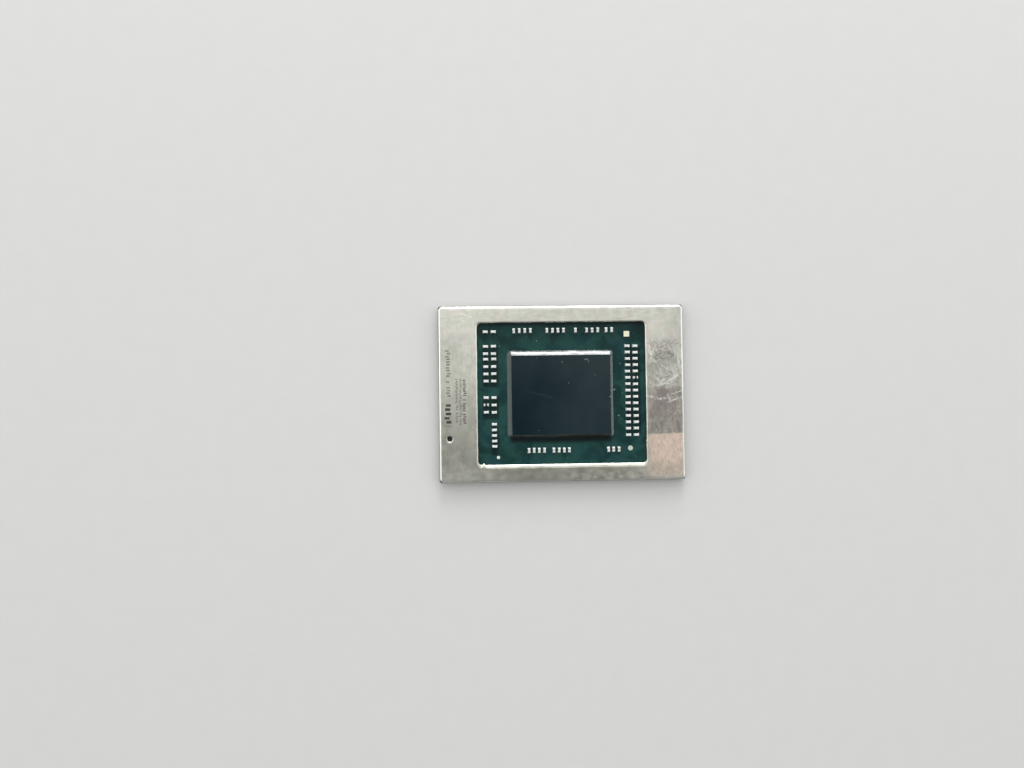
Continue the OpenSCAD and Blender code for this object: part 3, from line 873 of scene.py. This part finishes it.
def make_underfill(material):
    """Resin under the die and its fillet: broad behind and at the left, narrow and steep elsewhere."""
    floor = substrate_high.z
    steps = 10
    # Direction, width of the foot, share of the mean slope at the crest, and how late it bends
    sides = (
        (Vector((0, 1)), 0.66, 0.84, 4.5), (Vector((0, -1)), 0.34, 1.0, 2),
        (Vector((-1, 0)), 0.62, 1.5, 2), (Vector((1, 0)), 0.34, 1.45, 2),
    )

    def section(at, out):
        weights = [max(0, out.dot(side[0])) ** 2 for side in sides]
        width, start, late = [sum(w * side[k] for w, side in zip(weights, sides)) for k in (1, 2, 3)]
        width *= 1 + 0.07 * wave(at, 1.6, 9)
        crest = fillet_top - 0.02 * (1 + wave(at, 0.8, 10))
        rise = crest - floor
        pairs = [(-0.6 * DIE_CORNER_R, crest - 0.01), (0, crest)]
        for k in range(1, steps + 1):
            t = k / steps
            drop = start * t + (1 - start) * t ** late
            ripple = 0.006 * math.sin(math.pi * t) * wave(at, 1.2, 11)
            pairs.append((width * t, crest - rise * drop + ripple))
        return [*pairs[:-1], (width, floor + 0.004), (width + 0.01, floor - 0.002)]

    bm = bmesh.new()
    foot = outline(die_half.x, die_half.y, DIE_CORNER_R, 0.2, 12, die_middle.xy)
    close(bm, sweep(bm, foot, section), ends=(0, -1))
    piece("underfill_resin", bm, material, "underfill", "underfill", sharp_deg=50)


def skirt(l, w, climb, toe):
    """Solder round one terminal: a hollow slope that reaches furthest beyond the free end, at +x."""
    steps, inset = 5, -0.02

    def section(at, out):
        free = out.x > 0.3
        far, high = toe * (1 if free else 0.2), climb * (1 if free else 0.45)
        slope = [(far * (1 - t) ** 2, high * t ** 0.9) for t in [k / steps for k in range(steps + 1)]]
        return [(inset, 0), *slope, (inset, high)]

    bm = bmesh.new()
    close(bm, sweep(bm, outline(l / 2, w / 2, 0.04, 0.07, 3), section), ends=(0, -1))
    return shape_of(bm)


# Where the two capacitors with dark bodies lie
DARK_BODIES = ((-10.8, -1.68), (10.6, 1.93))

# A capacitor's ends bulge past the blocks of the frame and past its body, which is lower between them
END_GIRTH, BODY_GIRTH = 1.08, 1.04
BODY_SHORT, BODY_LOW = 0.06, 0.015
END_SHARE = 0.3


def make_capacitors(bank, bodies, metal, joints):
    """Bodies, terminals and solder of one bank, each a little out of place as placed parts are."""
    rng = random.Random(f"{bank} bank")
    blocks = solids_of(f"{bank}_capacitor_bodies")
    block_low, block_high = blocks[0]
    end_low, end_high = solids_of(f"{bank}_capacitor_terminals")[0]
    plate_t = end_high.z - block_high.z
    block_l, block_w = sorted((block_high - block_low).to_2d(), reverse=True)
    length, width, height = block_l + 2 * plate_t, block_w + 2 * plate_t, end_high.z - end_low.z
    end_l = END_SHARE * length
    under = end_low.z - substrate_high.z

    body_shape = rounded_box((length - BODY_SHORT, BODY_GIRTH * width, height - BODY_LOW), 0.03)
    end_shape = rounded_box((end_l, END_GIRTH * width, height), 0.05, 3)
    solder_shape = skirt(end_l, END_GIRTH * width, 0.6 * height, 0.08)
    meshes = [bmesh.new() for _ in range(3)]
    for low, high in blocks:
        centre = (low + high) / 2
        turned = high.y - low.y > high.x - low.x
        heading = (math.pi / 2 if turned else 0) + math.radians(rng.gauss(0, 1.6))
        tilt = Euler((math.radians(rng.gauss(0, 0.8)), math.radians(rng.gauss(0, 0.8)), heading))
        shift = Vector((rng.gauss(0, 0.012), rng.gauss(0, 0.012), 0))
        base = Vector((centre.x, centre.y, substrate_high.z)) + shift
        spot = Matrix.Translation(base + Vector((0, 0, under))) @ tilt.to_matrix().to_4x4()
        flat = Matrix.Translation(base) @ Matrix.Rotation(heading, 4, "Z")
        dark = any((centre.xy - Vector(at)).length < 0.45 for at in DARK_BODIES)
        stamp(meshes[0], body_shape, spot @ Matrix.Translation((0, 0, 0.01)), 1 if dark else 0)
        for side in (0, math.pi):
            half = Matrix.Rotation(side, 4, "Z") @ Matrix.Translation((length / 2 - end_l / 2, 0, 0))
            grow = 1 + rng.uniform(-0.03, 0.03)
            stamp(meshes[1], end_shape, spot @ half @ Matrix.Diagonal((1, grow, 1, 1)))
            melt = Matrix.Diagonal((1, 1, rng.uniform(0.8, 1.12), 1))
            stamp(meshes[2], solder_shape, flat @ half @ melt)
    for mesh, what, look, slot in zip(meshes, ("bodies", "terminals", "solder"), (bodies, metal, joints),
                                      ("ceramic", "tin", "solder")):
        piece(f"{bank}_chip_capacitor_{what}", mesh, look, slot, f"{bank}_capacitor_{what}")


def make_balls(field, material):
    """Solder balls of one field: cut off flat by the lands above, each a little different in girth."""
    segments, rings = 16, 9
    rng = random.Random(field)
    bm = bmesh.new()
    for low, high in solids_of(field):
        centre = (low + high) / 2
        r = (high.x - low.x) / 2
        girth = r * (1 + rng.uniform(-0.02, 0.012))
        twist = rng.uniform(0, 2 * math.pi)
        top_turn = math.acos((r - (high.z - low.z)) / r)
        pole = bm.verts.new((centre.x, centre.y, low.z))
        angles = [twist + 2 * math.pi * i / segments for i in range(segments)]
        loops = []
        for k in range(1, rings + 1):
            turn = top_turn * k / rings
            out, up = girth * math.sin(turn), low.z + r * (1 - math.cos(turn))
            places = [(centre.x + out * math.cos(a), centre.y + out * math.sin(a), up) for a in angles]
            loops.append([bm.verts.new(place) for place in places])
        for i in range(segments):
            n = (i + 1) % segments
            bm.faces.new((pole, loops[0][n], loops[0][i]))
            for a, b in zip(loops, loops[1:]):
                bm.faces.new((a[i], a[n], b[n], b[i]))
        bm.faces.new(loops[-1])
    piece(f"{field}_solder", bm, material, "solder", field, sharp_deg=60)


def make_pad(node, material, slot, grow, corner_r=None):
    """The gold square or a round mark, which nearly fills its opening in the mask."""
    low, high = box_of(node)
    half = (high - low) / 2 + Vector((grow, grow, 0))
    roll, drop = 0.012, 0.008

    def section(at, out):
        return [(0, low.z), *quarter(roll, drop, -roll, high.z - drop, 3), (-0.04, high.z)]

    bm = bmesh.new()
    middle = (low + high) / 2
    close(bm, sweep(bm, outline(half.x, half.y, corner_r or half.x, 0.1, 10, middle.xy), section))
    piece(f"{node}_plate", bm, material, slot, node)


def make_dust(material):
    """Flakes and two fibres that lie on the die, its resin and the substrate."""
    rng = random.Random("dust")
    on_die, on_mask = die_high.z, substrate_high.z
    flakes = (
        (3.38, 4.72, 0.13, on_die), (4.7, 2.52, 0.09, on_die), (0.08, 4.42, 0.1, on_die),
        (0.92, 1.42, 0.07, on_die), (-3.6, 5.05, 0.06, on_die), (-3.45, -5.25, 0.07, on_die),
        (6.86, -0.62, 0.14, on_die), (-7.62, 6.2, 0.1, on_mask), (-3.52, 7.5, 0.09, on_mask),
        (8.1, -3.3, 0.15, on_mask), (8.32, -3.75, 0.08, on_mask), (8.68, -0.12, 0.1, on_mask),
        (-8.8, 6.8, 0.11, on_mask), (8.4, 4.1, 0.1, on_mask), (-9.6, 4.1, 0.05, on_mask),
        (-5.0, 8.1, 0.05, on_mask), (4.4, -7.3, 0.05, on_mask),
    )
    squash, inset, peak_up = 0.7, 0.7, 0.035
    bm = bmesh.new()
    for x, y, size, floor in flakes:
        count = rng.randint(6, 9)
        low, high = [], []
        for k in range(count):
            turn = 2 * math.pi * k / count
            r = size * rng.uniform(0.45, 1) * (1 if k % 2 else 0.75)
            dx, dy = r * math.cos(turn), squash * r * math.sin(turn)
            low.append(bm.verts.new((x + dx, y + dy, floor)))
            high.append(bm.verts.new((x + inset * dx, y + inset * dy, floor + rng.uniform(0.01, 0.03))))
        peak = bm.verts.new((x, y, floor + peak_up))
        bm.faces.new(low)
        for k in range(count):
            n = (k + 1) % count
            bm.faces.new((low[k], low[n], high[n], high[k]))
            bm.faces.new((high[k], high[n], peak))
    hook = [(3.4, 4.72), (3.52, 4.83), (3.66, 4.8), (3.76, 4.68), (3.82, 4.5), (3.86, 4.3)]
    tube(bm, [Vector((x, y, on_die + 0.018)) for x, y in hook], 0.019)
    bridge = [(6.98, 0.22), (7.2, 0.3), (7.42, 0.28), (7.6, 0.42), (7.68, 0.56)]
    drops = (on_die + 0.02, on_die - 0.05, on_die - 0.2, on_mask + 0.06, on_mask + 0.02)
    tube(bm, [Vector((x, y, z)) for (x, y), z in zip(bridge, drops)], 0.022)
    piece("dust_and_fibres", bm, material, sharp_deg=60)


def dress(node, look):
    """Gives a CAD node that stays its material."""
    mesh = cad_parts[node].data
    mesh.materials.clear()
    mesh.materials.append(look)


# ---- Stage ----

CAMERA_AT = Vector((-11.09, -1.17, 110.26)) * MM
CAMERA_TURN_DEG = Vector((1.35, -2.08, -0.78))
LENS = 27.035


def make_camera():
    turn = Vector([math.radians(v) for v in CAMERA_TURN_DEG])
    data = bpy.data.cameras.new("camera")
    data.lens, data.sensor_width = LENS, 36
    data.clip_start, data.clip_end = 0.001, 10
    camera = bpy.data.objects.new("camera", data)
    camera.location = CAMERA_AT
    camera.rotation_mode = "QUATERNION"
    camera.rotation_quaternion = Quaternion(turn.normalized(), turn.length)
    bpy.context.scene.collection.objects.link(camera)
    bpy.context.scene.camera = camera


def softbox(name, distance_m, elevation_deg, azimuth_deg, size_m, radiance):
    """An area lamp that faces the package; azimuth 0 stands behind it, at +Y."""
    data = bpy.data.lights.new(name, "AREA")
    data.shape = "RECTANGLE"
    data.size, data.size_y = size_m
    data.energy = math.pi * radiance * size_m[0] * size_m[1]
    lamp = bpy.data.objects.new(name, data)
    up, side = math.radians(elevation_deg), math.radians(azimuth_deg)
    away = Vector((math.sin(side) * math.cos(up), math.cos(side) * math.cos(up), math.sin(up)))
    lamp.location = away * distance_m
    lamp.rotation_euler = (-away).to_track_quat("-Z", "Y").to_euler()
    lamp.visible_camera = False
    bpy.context.scene.collection.objects.link(lamp)


def make_world():
    """A plain room as a soft gradient: pale overhead, behind, at both sides and at the horizon."""
    world = bpy.data.worlds.new("room")
    world.use_nodes = True
    bpy.context.scene.world = world
    sky = Nodes(world.node_tree)
    x, y, z = sky.axes(sky.new("TexCoord").outputs["Generated"])
    overhead = sky.times(sky.step(z, 0.86, 0.96), sky.step(y, -0.13, 0.12, 0.12, 0.86))
    sideways = sky.less(sky.size(x), sky.size(y))
    sides = sky.times(sky.step(sideways, 0.05, 0.45), sky.step(x, -0.3, 0.3, 1.25, 1.12),
                      sky.step(z, 0.88, 0.74, 0.3, 1))
    front = sky.times(sky.step(y, -0.3, -0.55), sky.step(z, 0.4, 0.62, 0, 0.34))
    back = sky.times(sky.step(y, 0.15, 0.5), sky.step(z, 0.2, 0.5, 0, 0.8))
    horizon = sky.times(sky.step(z, 0.24, 0.10), sky.step(y, -0.55, 0.1, 0.24, 0.62))
    shader = sky.tree.nodes["Background"]
    shader.inputs["Color"].default_value = (0.99, 1.0, 0.985, 1)
    sky.feed(sky.add(0.06, sky.most(overhead, sides, front, back, horizon)), shader.inputs["Strength"])


def make_floor(material):
    bm = bmesh.new()
    bmesh.ops.create_grid(bm, x_segments=8, y_segments=8, size=1)
    mesh = bpy.data.meshes.new("floor")
    bm.to_mesh(mesh)
    bm.free()
    mesh.materials.append(material)
    floor = bpy.data.objects.new("floor", mesh)
    floor.location.z = box_of("corner_balls")[0].z * MM
    bpy.context.scene.collection.objects.link(floor)


# ---- The package ----

make_ring(ring_metal())
make_glue(glue())
make_die(silicon())
make_underfill(resin())

# Lit and shaded copies of one ceramic: the back and front banks get the darker copy, as painted shade
tan = ceramic("ceramic", (0.96, 0.985, 0.965), (0.76, 0.80, 0.77))
grey = ceramic("shaded_ceramic", (0.82, 0.85, 0.81), (0.44, 0.47, 0.43))
brown = ceramic("dark_ceramic", (0.05, 0.06, 0.055), (0.02, 0.025, 0.025))
tin = bright_metal("tin", (1.0, 1.0, 0.99), (0.97, 0.98, 0.96), 0.4, metallic=0.12)
solder = bright_metal("solder", (0.96, 0.97, 0.96), (0.86, 0.88, 0.87), 0.3, metallic=0.4)
for bank, pale in (("left", tan), ("back", grey), ("right", tan), ("front", grey)):
    make_capacitors(bank, [pale, brown], tin, solder)

balls = bright_metal("ball_solder", (0.80, 0.81, 0.82), (0.58, 0.59, 0.60), 0.26, detail=9.0, dimple=0.006)
for field in BALL_FIELDS:
    make_balls(field, balls)

round_low, round_high = box_of("round_fiducial")
round_middle = (round_low + round_high) / 2
gold = plated("gold", (1.0, 1.0, 0.76), (0.96, 0.95, 0.68), 0.25)
copper = plated("bare_copper", (0.80, 0.86, 0.77), (0.42, 0.48, 0.40), 0.4, mark_at=round_middle.xy)
tinned = plated("tinned_copper", (0.99, 1.0, 0.97), (0.88, 0.93, 0.88), 0.15)
make_pad("gold_corner_pad", gold, "gold", grow=0.02, corner_r=0.05)
make_pad("round_fiducial", copper, "bare_copper", grow=0.05)
make_pad("small_fiducial", tinned, "bare_copper", grow=0.05)
make_dust(lint())
dress("substrate", solder_mask())
dress("die_bumps", balls)

# ---- Stage, camera and light ----

make_floor(paper())
make_camera()
make_world()
softbox("window", distance_m=0.5, elevation_deg=17.5, azimuth_deg=3, size_m=(0.20, 0.14), radiance=12)
softbox("fill", distance_m=0.55, elevation_deg=25, azimuth_deg=-4, size_m=(2.0, 0.38), radiance=1.05)
bpy.context.scene.view_settings.view_transform = "Standard"
